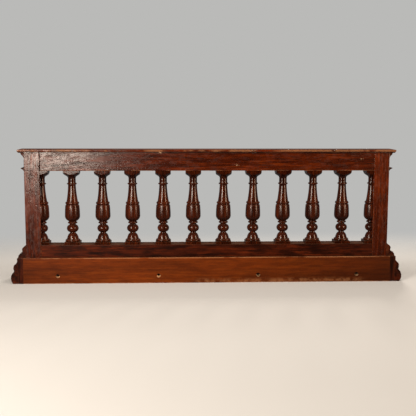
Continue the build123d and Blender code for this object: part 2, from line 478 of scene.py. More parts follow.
class ShapeTree:
    """A geometry tree that lays rings of points in rows, closed at both ends."""

    name = "ring_rows"
    inputs: dict[str, Sort] = {}
    sharp_turn = math.radians(38)
    seed_stride = 1.7
    bite_grit: Point = (0.46, 0.78)
    bite_wear: Point = (0.5, 0.95)

    def __init__(self) -> None:
        """Builds the tree."""
        shared = {"Around": Sort.INT, "Rows": Sort.INT, **floats("Chip Depth", "Chip Scale", "Seed"),
                  "Flip": Sort.BOOL, "Material": Sort.MATERIAL}
        inputs = {**self.inputs, **shared}
        self.kit = NodeKit.group(self.name, "GeometryNodeTree", inputs, {"Geometry": Sort.GEOMETRY})
        self.kit.tree.is_modifier = True
        kit, source = self.kit, self.kit.source
        last = kit.math("SUBTRACT", source["Rows"], 1.0)
        rings = kit.add("GeometryNodeMeshCylinder", fill_type="NGON", named={
            "Vertices": source["Around"], "Side Segments": last, "Radius": 1.0, "Depth": last})
        x, y, z = kit.split(kit.add("GeometryNodeInputPosition").outputs[0])
        self.row = kit.math("ROUND", kit.math("MULTIPLY_ADD", last, 0.5, z))
        self.share = kit.math("DIVIDE", self.row, last)
        self.turn = kit.math("ARCTAN2", y, x)
        turns = kit.math("DIVIDE", self.turn, 2 * math.pi)
        column = kit.math("ROUND", kit.math("MULTIPLY", turns, source["Around"]))
        self.column = kit.math("FLOORED_MODULO", column, source["Around"])
        place, wear = self.lay_out()
        stored = kit.add("GeometryNodeStoreNamedAttribute", rings.outputs["Mesh"],
                         named={"Name": WEAR, "Value": wear}, data_type="FLOAT", domain="POINT").outputs[0]
        laid = kit.add("GeometryNodeSetPosition", stored, named={"Position": place}).outputs[0]
        flipped = kit.add("GeometryNodeFlipFaces", laid, source["Flip"]).outputs[0]
        self._finish(self._chip(flipped))

    def lay_out(self) -> tuple[Socket, Socket]:
        """Gives the place and the wear of each point, for its row and its column."""
        raise NotImplementedError

    def sample(self, carrier: Socket, index: Socket) -> tuple[Socket, ...]:
        """Reads the three numbers of a carrier's point."""
        kit = self.kit
        points = kit.add("GeometryNodeObjectInfo", carrier).outputs["Geometry"]
        place = kit.add("GeometryNodeInputPosition").outputs[0]
        node = kit.add("GeometryNodeSampleIndex", points, data_type="FLOAT_VECTOR", domain="POINT")
        kit.feed(node.inputs["Value"], place)
        kit.feed(node.inputs["Index"], index)
        return kit.split(node.outputs[0])

    def seeded(self, vector: Socket) -> Socket:
        """Moves a noise vector to the seed's own stretch of noise."""
        kit = self.kit
        seed = kit.source["Seed"]
        return kit.vector("ADD", vector, kit.join(seed, kit.math("MULTIPLY", seed, self.seed_stride), 0.0))

    def _chip(self, mesh: Socket) -> Socket:
        """Wears the proud edges back unevenly."""
        kit, source = self.kit, self.kit.source
        place = kit.add("GeometryNodeInputPosition").outputs[0]
        wear = kit.add("GeometryNodeInputNamedAttribute", WEAR, data_type="FLOAT").outputs[0]
        grit = kit.noise(self.seeded(kit.scale(place, source["Chip Scale"])), 1.0, 3.0, 0.6)
        bite = kit.math("MULTIPLY", kit.step(grit, *self.bite_grit), kit.step(wear, *self.bite_wear))
        depth = kit.math("MULTIPLY", bite, source["Chip Depth"])
        normal = kit.add("GeometryNodeInputNormal").outputs[0]
        back = kit.scale(normal, kit.math("MULTIPLY", depth, -1.0))
        return kit.add("GeometryNodeSetPosition", mesh, named={"Offset": back}).outputs[0]

    def _finish(self, mesh: Socket) -> None:
        """Shades the mesh, gives it its material and ends the tree."""
        kit, source = self.kit, self.kit.source
        angle = kit.add("GeometryNodeInputMeshEdgeAngle").outputs[0]
        smooth = kit.math("LESS_THAN", angle, self.sharp_turn)
        faces = kit.add("GeometryNodeSetShadeSmooth", mesh, True, True, domain="FACE").outputs[0]
        edges = kit.add("GeometryNodeSetShadeSmooth", faces, True, smooth, domain="EDGE").outputs[0]
        whole = kit.add("GeometryNodeRealizeInstances", edges).outputs[0]
        dressed = kit.add("GeometryNodeSetMaterial", whole, named={"Material": source["Material"]}).outputs[0]
        kit.feed(kit.target["Geometry"], dressed)


class TurningTree(ShapeTree):
    """Turns a profile on a lathe, out of a square billet."""

    name = "turned_from_billet"
    inputs = {"Profile": Sort.OBJECT, "Place": Sort.VECTOR,
              **floats("Half Width", "Arris", "Wobble", "Keep Side")}
    sway_rate, sway_scale = 14.0, 0.8
    round_depth = 0.004
    clipped_range: Point = (-0.002, 0.0005)
    corner_range: Point = (0.78, 0.715)
    clipped_wear = -0.55

    def lay_out(self) -> tuple[Socket, Socket]:
        """Gives the place and the wear of each point, for its row and its column."""
        kit, source = self.kit, self.kit.source
        radius, wear, height = self.sample(source["Profile"], self.row)
        across, deep = kit.math("COSINE", self.turn), kit.math("SINE", self.turn)
        widest = kit.math("MAXIMUM", kit.math("ABSOLUTE", across), kit.math("ABSOLUTE", deep))
        flat = kit.math("DIVIDE", source["Half Width"], widest)
        bounded = kit.math("SMOOTH_MIN", radius, flat, source["Arris"])
        round_place = kit.join(across, deep, kit.math("MULTIPLY", height, self.sway_rate))
        drift = kit.noise(self.seeded(round_place), self.sway_scale, 2.0)
        sway = kit.math("MULTIPLY", kit.math("SUBTRACT", drift, 0.5), source["Wobble"])
        round_share = kit.step(kit.math("SUBTRACT", flat, radius), 0.0, self.round_depth)
        true = kit.math("ADD", bounded, kit.math("MULTIPLY", sway, round_share))
        x, side = kit.math("MULTIPLY", true, across), source["Keep Side"]
        sided = kit.math("ABSOLUTE", side)
        kept = kit.math("MULTIPLY", kit.math("MAXIMUM", kit.math("MULTIPLY", x, side), 0.0), side)
        whole = kit.math("MULTIPLY", x, kit.math("SUBTRACT", 1.0, sided))
        place = kit.join(kit.math("ADD", whole, kept), kit.math("MULTIPLY", true, deep), height)
        clipped = kit.step(kit.math("SUBTRACT", radius, flat), *self.clipped_range)
        corner = kit.math("MULTIPLY", clipped, kit.step(widest, *self.corner_range))
        dulled = kit.math("MULTIPLY_ADD", clipped, self.clipped_wear, wear)
        return kit.vector("ADD", place, source["Place"]), kit.math("MAXIMUM", dulled, corner)


class RunTree(ShapeTree):
    """Runs a section along a straight line, with square, mitred or gappy ends."""

    name = "section_run"
    inputs = {"Profile": Sort.OBJECT, "Origin": Sort.VECTOR, "Along": Sort.VECTOR, "Out": Sort.VECTOR,
              "Rise": Sort.VECTOR,
              **floats("Start", "End", "Mitre Start", "Mitre End", "Gap Start", "Gap End")}
    saw_rate = 40.0
    gap_shut, gap_open = -0.03, -0.08

    def lay_out(self) -> tuple[Socket, Socket]:
        """Gives the place and the wear of each point, for its row and its column."""
        kit, source = self.kit, self.kit.source
        across, wear, up = self.sample(source["Profile"], self.column)
        ends = []
        open_share = kit.step(across, self.gap_shut, self.gap_open)
        teeth = [kit.math("MULTIPLY", way, self.saw_rate) for way in (across, up)]
        for end, sign in (("Start", 1.0), ("End", -1.0)):
            saw = kit.noise(self.seeded(kit.join(*teeth, sign)), 1.0, 3.0)
            gap = kit.math("MULTIPLY", saw, source[f"Gap {end}"])
            gap = kit.math("MULTIPLY", gap, kit.math("MULTIPLY", open_share, sign))
            slope = kit.math("MULTIPLY_ADD", source[f"Mitre {end}"], across, source[end])
            ends.append(kit.math("ADD", slope, gap))
        run = kit.math("MULTIPLY_ADD", kit.math("SUBTRACT", ends[1], ends[0]), self.share, ends[0])
        place = kit.vector("ADD", source["Origin"], kit.scale(source["Along"], run))
        place = kit.vector("ADD", place, kit.scale(source["Out"], across))
        return kit.vector("ADD", place, kit.scale(source["Rise"], up)), wear


class SlabTree(ShapeTree):
    """Lays a flat board whose edge follows a section all round."""

    name = "edged_board"
    inputs = {"Rim": Sort.OBJECT, "Inner Rim": Sort.OBJECT, "Edge": Sort.OBJECT, "Base": Sort.FLOAT}

    def lay_out(self) -> tuple[Socket, Socket]:
        """Gives the place and the wear of each point, for its row and its column."""
        kit, source = self.kit, self.kit.source
        inset, wear, up = self.sample(source["Edge"], self.row)
        rim = kit.join(*self.sample(source["Rim"], self.column))
        inner = kit.join(*self.sample(source["Inner Rim"], self.column))
        step = kit.scale(kit.vector("SUBTRACT", inner, rim), kit.math("DIVIDE", inset, MM))
        lift = kit.join(0.0, 0.0, kit.math("ADD", up, source["Base"]))
        return kit.vector("ADD", kit.vector("ADD", rim, step), lift), wear


class ShaderGroups:
    """The shader groups that the finishes share, each built once. Sizes in metres.

    The numbers of fibre, pore, tone, blotch and dash are a rate along the grain and a width across it.
    A range gives where a mask is 0 and where it is 1, or else four numbers: the last two are its own ends.
    A gain is a factor and what is added to it.
    """

    pith: Point = (0.21, 0.13)
    drift_rates: Triple = (1.3, 5.0, 5.0)
    streak_rate = 4.0
    fibre: Point = (16.0, 0.0019)
    pore: Point = (42.0, 0.0012)
    tone: Point = (0.9, 0.09)
    blotch: Point = (7.0, 0.032)
    dash: Point = (15.0, 0.0062)
    streak_share, ring_share, fibre_share = 0.7, 0.02, 0.3
    fibre_height, pore_depth = 0.12, 0.16
    figure_range: Point = (0.1, 0.62)
    pore_range: Point = (0.6, 0.74)
    blotch_range: Point = (0.3, 0.7)
    dash_range: Point = (0.56, 0.72)
    spot_squash, spot_grit = 0.6, 130.0
    spot_range: Point = (1.0, 0.3)
    ragged_range = (0.36, 0.62, 0.4, 2.6)
    front_range: Point = (-0.08, -0.09)
    patch_scale, broad_scale = 38.0, 7.0
    rub_gain: Point = (1.3, 0.15)
    rub_range = (0.4, 0.58, 0.4, 1.3)
    worn_range: Point = (0.22, 0.75)
    kicked_band = (0.003, 0.009, 0.01, 0.042)
    kicked_range: Point = (0.34, 0.7)
    hollow_range: Point = (0.05, 0.5)
    # Painted shade on faces that look down: from where the normal starts to point down to where it does, up
    # to half strength.
    under_range = (-0.1, -0.7, 0.0, 0.5)
    ledge_range: Point = (0.75, 1.0)
    dust_gain: Point = (0.8, 0.25)
    dent_stretch: Triple = (0.45, 1.0, 1.0)
    dent_scale, ripple_scale, pit_scale, dull_scale = 38.0, 70.0, 58.0, 48.0
    ripple_share, pit_share = 0.4, -0.3
    calm_range = (0.3, 0.6, 0.45, 1.0)
    pit_range: Point = (0.68, 0.8)
    dull_range: Point = (0.46, 0.62)

    def __init__(self) -> None:
        """Builds the groups."""
        self.figure = self._figure()
        self.ageing = self._ageing()
        self.spot = self._spot()

    def _figure(self) -> NodeKit:
        """Builds the figure of solid walnut: streaks, year rings, fibres and pores along the grain."""
        kit = NodeKit.group(
            "walnut_figure", "ShaderNodeTree",
            {"Grain": Sort.VECTOR, **floats("Streak Width", "Ring Spacing", "Wander")},
            floats("Figure", "Tone", "Blotch", "Dashes", "Pores", "Height"))
        source = kit.source
        along, first, second = kit.split(source["Grain"])
        slow = kit.vector("MULTIPLY", source["Grain"], self.drift_rates)
        drift = kit.math("MULTIPLY", kit.math("SUBTRACT", kit.noise(slow, 1.0, 2.0), 0.5), source["Wander"])
        first, second = kit.math("ADD", first, drift), kit.math("SUBTRACT", second, drift)

        def stretched(along_rate: float, width: object) -> Socket:
            """Gives a noise vector that is long along the grain and as wide as asked across it."""
            return kit.join(kit.math("MULTIPLY", along, along_rate), kit.math("DIVIDE", first, width),
                            kit.math("DIVIDE", second, width))

        streak = kit.noise(stretched(self.streak_rate, source["Streak Width"]), 1.0, 4.0, 0.66)
        offsets = [kit.math("ADD", way, pith) for way, pith in zip((first, second), self.pith)]
        rings = kit.math("DIVIDE", kit.length(kit.join(*offsets, 0.0)), source["Ring Spacing"])
        ring = kit.math("SINE", kit.math("MULTIPLY", rings, 2 * math.pi))
        fibre = kit.noise(stretched(*self.fibre), 1.0, 3.0, 0.6)
        pore = kit.noise(stretched(*self.pore), 1.0, 1.0)
        pores = kit.step(pore, *self.pore_range)
        figure = kit.math("MULTIPLY", streak, self.streak_share)
        figure = kit.math("MULTIPLY_ADD", ring, self.ring_share, figure)
        figure = kit.math("MULTIPLY_ADD", kit.math("SUBTRACT", fibre, 0.5), self.fibre_share, figure)
        kit.feed(kit.target["Figure"], kit.step(figure, *self.figure_range))
        kit.feed(kit.target["Tone"], kit.noise(stretched(*self.tone), 1.0, 2.0))
        blotch = kit.noise(stretched(*self.blotch), 1.0, 4.0, 0.6)
        kit.feed(kit.target["Blotch"], kit.step(blotch, *self.blotch_range))
        dash = kit.noise(stretched(*self.dash), 1.0, 3.0, 0.6)
        kit.feed(kit.target["Dashes"], kit.step(dash, *self.dash_range))
        kit.feed(kit.target["Pores"], pores)
        raised = kit.math("MULTIPLY", fibre, self.fibre_height)
        height = kit.math("SUBTRACT", raised, kit.math("MULTIPLY", pores, self.pore_depth))
        kit.feed(kit.target["Height"], height)
        return kit

    def _spot(self) -> NodeKit:
        """Builds the mask of one ragged spot on the front face."""
        kit = NodeKit.group("ragged_spot", "ShaderNodeTree",
                            {"Place": Sort.VECTOR, "Centre": Sort.VECTOR, **floats("Radius")}, floats("Mask"))
        source = kit.source
        x, _, z = kit.split(kit.vector("SUBTRACT", source["Place"], source["Centre"]))
        far = kit.length(kit.join(kit.math("MULTIPLY", x, self.spot_squash), 0.0, z))
        grit = kit.step(kit.noise(source["Place"], self.spot_grit, 4.0, 0.7), *self.ragged_range)
        ragged = kit.math("MULTIPLY", far, grit)
        spot = kit.step(kit.math("DIVIDE", ragged, source["Radius"]), *self.spot_range)
        front = kit.step(kit.split(source["Place"])[1], *self.front_range)
        kit.feed(kit.target["Mask"], kit.math("MULTIPLY", spot, front))
        return kit

    def _ageing(self) -> NodeKit:
        """Builds the masks of age and painted shade: worn edges, dirt in hollows, painted shade on faces that
        look down, dust on ledges, dents and dull patches.
        """
        kit = NodeKit.group(
            "aged_surface", "ShaderNodeTree",
            {"Grain": Sort.VECTOR, **floats("Wear", "Edge Wear", "Grime", "Dust", "Scuffs", "Height")},
            floats("Worn", "Grimy", "Dusty", "Dents", "Dull", "Ledge"))
        source = kit.source
        patch = kit.noise(source["Grain"], self.patch_scale, 4.0, 0.6)
        broad = kit.noise(source["Grain"], self.broad_scale, 3.0)
        rubbed = kit.math("MULTIPLY", source["Wear"], kit.math("MULTIPLY_ADD", patch, *self.rub_gain))
        rubbed = kit.math("MULTIPLY", rubbed, kit.step(broad, *self.rub_range))
        kicked = kit.band(source["Height"], self.kicked_band)
        kicked = kit.math("MULTIPLY", kicked, kit.step(patch, *self.kicked_range))
        kicked = kit.math("MULTIPLY", kicked, source["Scuffs"])
        worn = kit.math("MULTIPLY", kit.step(rubbed, *self.worn_range), source["Edge Wear"])
        kit.feed(kit.target["Worn"], kit.math("MAXIMUM", worn, kicked))
        hollow = kit.math("MULTIPLY", kit.math("MULTIPLY", source["Wear"], -1.0), kit.math("ADD", broad, 0.5))
        level = kit.split(kit.add("ShaderNodeNewGeometry").outputs["Normal"])[2]
        # Painted shade: faces that look down get the same darkening as dirt in hollows, standing in for their
        # shadow.
        painted_downward_shade = kit.step(level, *self.under_range)
        dirt_and_downward_shade = kit.math("MAXIMUM", kit.step(hollow, *self.hollow_range), painted_downward_shade)
        kit.feed(kit.target["Grimy"], kit.math("MULTIPLY", dirt_and_downward_shade, source["Grime"]))
        ledge = kit.step(level, *self.ledge_range)
        kit.feed(kit.target["Ledge"], ledge)
        settled = kit.math("MULTIPLY", ledge, kit.math("MULTIPLY_ADD", patch, *self.dust_gain))
        kit.feed(kit.target["Dusty"], kit.math("MULTIPLY", settled, source["Dust"]))
        long = kit.vector("MULTIPLY", source["Grain"], self.dent_stretch)
        uneven = kit.math("SUBTRACT", kit.noise(long, self.dent_scale, 1.0, 0.42), 0.5)
        uneven = kit.math("MULTIPLY_ADD", kit.noise(long, self.ripple_scale, 1.0), self.ripple_share, uneven)
        uneven = kit.math("MULTIPLY", uneven, kit.step(broad, *self.calm_range))
        pits = kit.step(kit.noise(source["Grain"], self.pit_scale, 0.0), *self.pit_range)
        kit.feed(kit.target["Dents"], kit.math("MULTIPLY_ADD", pits, self.pit_share, uneven))
        dull = kit.noise(long, self.dull_scale, 5.0, 0.68)
        kit.feed(kit.target["Dull"], kit.step(dull, *self.dull_range))
        return kit


@dataclass(frozen=True)
class WoodFinish:
    """A wood's colours, figure, gloss and age, with some painted shade and shadow. Sizes in metres."""

    slot: str
    dark: Colour
    middle: Colour
    light: Colour
    worn: Colour
    # The colour of dirt and pore flecks, also laid on as painted shade and painted shadow.
    grime: Colour = srgb(16, 7, 3)
    dust: Colour = srgb(112, 84, 64)
    bare: Colour = srgb(190, 150, 115)
    streak_width: float = 0.014
    ring_spacing: float = 0.011
    wander: float = 0.03
    tone_range: tuple[float, ...] = (0.28, 0.72, 0.78, 1.2)
    roughness: float = 0.42
    specular: float = 0.3
    coat: float = 0.0
    coat_roughness: float = 0.2
    dull_coat_share: float = 0.3
    edge_wear: float = 0.5
    # How strongly dirt in hollows and the painted shade on faces that look down darken the wood.
    grime_share: float = 0.7
    dust_share: float = 0.5
    scuff_share: float = 0.0
    scuff_spans: tuple[Point, ...] = ()
    scuff_fade: float = 0.08
    knocks: tuple[Triple, ...] = ()
    knock_depth: float = 2.5
    knock_grime: float = 0.55
    chips: tuple[Triple, ...] = ()
    blotches: float = 0.3
    dashes: float = 0.3
    pore_share: float = 0.4
    dents: float = 0.5
    bump: float = 0.25
    bump_depth: float = 0.0012
    dull_gain: float = 0.14
    dull_patches: float = 0.0
    ledge_gain: float = 0.24
    # Painted shade: the wood darkens towards the foot, against the light that the pale floor throws up.
    foot_shade: float = 1.0
    foot_height: float = 0.12
    # A band of heights darkened to the dirt colour, as painted shadow.
    grimy_band: tuple[float, ...] = NO_BAND
    band_share: float = 1.0
    dull_band: tuple[float, ...] = NO_BAND

    def material(self, groups: ShaderGroups) -> bpy.types.Material:
        """Makes the finish's material.

        Args:
            groups: The shared shader groups.

        Returns:
            The material, named for the finish's slot.
        """
        material, kit = bare_material(self.slot)
        grain = kit.add("ShaderNodeAttribute", attribute_name=GRAIN).outputs["Vector"]
        wear = kit.add("ShaderNodeAttribute", attribute_name=WEAR).outputs["Fac"]
        figure = kit.place_group(groups.figure, {
            "Grain": grain, "Streak Width": self.streak_width, "Ring Spacing": self.ring_spacing,
            "Wander": self.wander}).outputs
        place = kit.add("ShaderNodeTexCoord").outputs["Object"]
        across, _, height = kit.split(place)
        scuffs = 0.0
        for start, end in self.scuff_spans:
            span = kit.band(across, (start - self.scuff_fade, start, end, end + self.scuff_fade))
            scuffs = kit.math("MULTIPLY_ADD", span, self.scuff_share, scuffs)
        age = kit.place_group(groups.ageing, {
            "Grain": grain, "Wear": wear, "Edge Wear": self.edge_wear, "Grime": self.grime_share,
            "Dust": self.dust_share, "Scuffs": scuffs, "Height": height}).outputs
        wood = kit.ramp(figure["Figure"], [(0.0, self.dark), (0.5, self.middle), (1.0, self.light)])
        tone = kit.add("ShaderNodeAttribute", attribute_name=TONE).outputs["Fac"]
        shade = kit.math("MULTIPLY", kit.step(figure["Tone"], *self.tone_range), tone)
        mottle = kit.step(figure["Blotch"], 0.0, 1.0, 1.0 - self.blotches, 1.0 + self.blotches)
        shade = kit.math("MULTIPLY", shade, mottle)
        # Painted shade: darker towards the foot, from the floor up to the foot height.
        shade = kit.math("MULTIPLY", shade, kit.step(height, 0.0, self.foot_height, self.foot_shade, 1.0))
        wood = kit.blend(1.0, wood, kit.join(shade, shade, shade), "MULTIPLY")
        pores = kit.math("MULTIPLY", figure["Pores"], self.pore_share)
        flaws = kit.math("MAXIMUM", pores, kit.math("MULTIPLY", figure["Dashes"], self.dashes))
        wood = kit.blend(flaws, wood, self.grime)
        wood = kit.blend(age["Worn"], wood, self.worn)
        # Dirt in hollows and knocks, painted shade on faces that look down and the band of painted shadow,
        # all darkened to one colour.
        band = kit.math("MULTIPLY", kit.band(height, self.grimy_band), self.band_share)
        dirt_and_shade = kit.math("MAXIMUM", age["Grimy"], band)
        knocked = self._spots(kit, groups, place, self.knocks)
        dirt_and_shade = kit.math("MAXIMUM", dirt_and_shade, kit.math("MULTIPLY", knocked, self.knock_grime))
        wood = kit.blend(dirt_and_shade, wood, self.grime)
        wood = kit.blend(age["Dusty"], wood, self.dust)
        wood = kit.blend(self._spots(kit, groups, place, self.chips), wood, self.bare)
        dull = kit.band(height, self.dull_band)
        dull = kit.math("MAXIMUM", dull, kit.math("MAXIMUM", dirt_and_shade, age["Dusty"]))
        dull = kit.math("MAXIMUM", dull, kit.math("MULTIPLY", age["Dull"], self.dull_patches))
        gloss = kit.math("MULTIPLY_ADD", dull, self.dull_gain, self.roughness)
        gloss = kit.math("MULTIPLY_ADD", age["Ledge"], self.ledge_gain, gloss)
        dull_coat = self.coat * self.dull_coat_share
        polish = kit.step(age["Dull"], 0.0, 1.0, self.coat, dull_coat) if self.coat else 0.0
        relief = kit.math("MULTIPLY_ADD", age["Dents"], self.dents, figure["Height"])
        relief = kit.math("MULTIPLY_ADD", knocked, -self.knock_depth, relief)
        bump = kit.add("ShaderNodeBump", named={
            "Strength": self.bump, "Distance": self.bump_depth, "Height": relief})
        shader = kit.add("ShaderNodeBsdfPrincipled", named={
            "Base Color": wood, "Roughness": gloss, "Normal": bump.outputs[0],
            "Specular IOR Level": self.specular, "Coat Weight": polish,
            "Coat Roughness": self.coat_roughness})
        kit.add("ShaderNodeOutputMaterial", shader.outputs[0])
        return material

    @staticmethod
    def _spots(kit: NodeKit, groups: ShaderGroups, place: Socket, spots: tuple[Triple, ...]) -> object:
        """Gives the mask of some spots.

        Args:
            kit: The material's kit.
            groups: The shared shader groups.
            place: The object coordinates.
            spots: The x, the z and the radius of each spot, in metres.

        Returns:
            The socket of the mask, or 0 with no spots.
        """
        mask = 0.0
        for x, z, radius in spots:
            spot = kit.place_group(groups.spot, {"Place": place, "Centre": (x, 0.0, z), "Radius": radius})
            mask = kit.math("MAXIMUM", spot.outputs["Mask"], mask)
        return mask


@dataclass
class Piece:
    """One named mesh that stands for CAD nodes."""

    thing: bpy.types.Object
    slot: str
    grain: Grain
    seed: int
    tone: tuple[float, ...] = (1.0, 1.0)
    lot_reach: ClassVar[Triple] = (9.0, 0.4, 0.4)

    def dress(self) -> None:
        """Lays the grain and the tone, hands the piece to the frame and reports it."""
        mesh = self.thing.data
        rng = np.random.default_rng(self.seed)
        lot = np.array([rng.uniform(-reach, reach) for reach in self.lot_reach])
        places = np.empty(len(mesh.vertices) * 3, np.float32)
        mesh.vertices.foreach_get("co", places)
        turned = places.reshape(-1, 3)[:, list(self.grain.value)]
        along = turned[:, 0]
        tones = np.interp(along, np.linspace(along.min(), along.max(), len(self.tone)), self.tone)
        mesh.attributes.new(TONE, "FLOAT", "POINT").data.foreach_set("value", tones.astype(np.float32))
        layer = mesh.attributes.new(GRAIN, "FLOAT_VECTOR", "POINT")
        layer.data.foreach_set("vector", (turned + lot).astype(np.float32).ravel())
        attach(self.thing, BODY)
        LOG.info("%s: %d faces, %s", self.thing.name, len(mesh.polygons), self.slot)

    def stand_for(self, *nodes: str) -> None:
        """Hides the CAD nodes that the piece stands for."""
        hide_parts(*nodes)


class Workshop:
    """Holds the trees and the materials, and makes pieces with them. Sizes in metres."""

    row_pitch = 0.008
    chip_depth = 0.0012
    chip_scale = 42.0

    def __init__(self, finishes: tuple[WoodFinish, ...]) -> None:
        """Builds the trees and the materials."""
        self.turning, self.run, self.slab = TurningTree(), RunTree(), SlabTree()
        groups = ShaderGroups()
        self.materials = {finish.slot: finish.material(groups) for finish in finishes}
        self.made = 0

    def piece(self, tree: ShapeTree, node: str, slot: str, grain: Grain,
              settings: dict[str, object]) -> Piece:
        """Grows one piece that stands for a CAD node of the same name.

        Args:
            tree: The geometry tree.
            node: The CAD node's name.
            slot: The material slot.
            grain: The way the grain runs.
            settings: The tree's inputs.

        Returns:
            The piece, not yet dressed.
        """
        self.made += 1
        shared = {"Seed": float(self.made), "Material": self.materials[slot], "Chip Depth": self.chip_depth,
                  "Chip Scale": self.chip_scale}
        thing = grow(tree.kit, f"{node}.wood", {**shared, **settings})
        return Piece(thing, slot, grain, self.made)

    def straight(self, node: str, slot: str, grain: Grain, section: Profile, origin: Triple, along: Triple,
                 out: Triple, rise: Triple, length: Point, rub: float = 1.0, **more: object) -> Piece:
        """Runs a section along a line.

        Args:
            node: The CAD node's name.
            slot: The material slot.
            grain: The way the grain runs.
            section: The closed section in millimetres, drawn anticlockwise.
            origin: Where the section's zero lies, in metres.
            along: The way the run goes.
            out: The way the section's across goes.
            rise: The way the section's up goes.
            length: Where the run starts and ends along its line, in metres.
            rub: How much its edges are rubbed, as a share.
            **more: Other inputs of the tree, with _ for a space.

        Returns:
            The piece, not yet dressed.
        """
        carrier = section.carrier(f"{node}.section", gain=rub)
        turned = Vector(out).cross(Vector(rise)).dot(Vector(along)) < 0
        rows = max(2, round((length[1] - length[0]) / self.row_pitch))
        settings = {"Profile": carrier, "Around": len(section.points), "Rows": rows, "Flip": turned,
                    "Origin": origin, "Along": along, "Out": out, "Rise": rise, "Start": length[0],
                    "End": length[1]}
        settings.update({key.replace("_", " ").title(): value for key, value in more.items()})
        piece = self.piece(self.run, node, slot, grain, settings)
        drop(carrier)
        return piece

    def carve(self, piece: Piece, cutters: list[bpy.types.Object]) -> None:
        """Cuts forms out of a piece and removes the cutters.

        Args:
            piece: The piece to cut.
            cutters: Closed meshes, whose materials line the cuts.
        """
        for cutter in cutters:
            cut = piece.thing.modifiers.new("cut", "BOOLEAN")
            cut.operation, cut.solver = "DIFFERENCE", "EXACT"
            cut.object, cut.material_mode = cutter, "TRANSFER"
            settle_mesh(piece.thing)
            drop(cutter)


def rectangle(left: float, bottom: float, right: float, top: float, ease: float) -> Profile:
    """Draws a rectangle with eased corners, in millimetres."""
    return Profile([(left, bottom), (right, bottom), (right, top), (left, top)]).eased(ease)


def millimetres(node: str) -> tuple[Vector, Vector]:
    """Gives the corners of a CAD node's box in millimetres."""
    low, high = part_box(node)
    return low / MM, high / MM


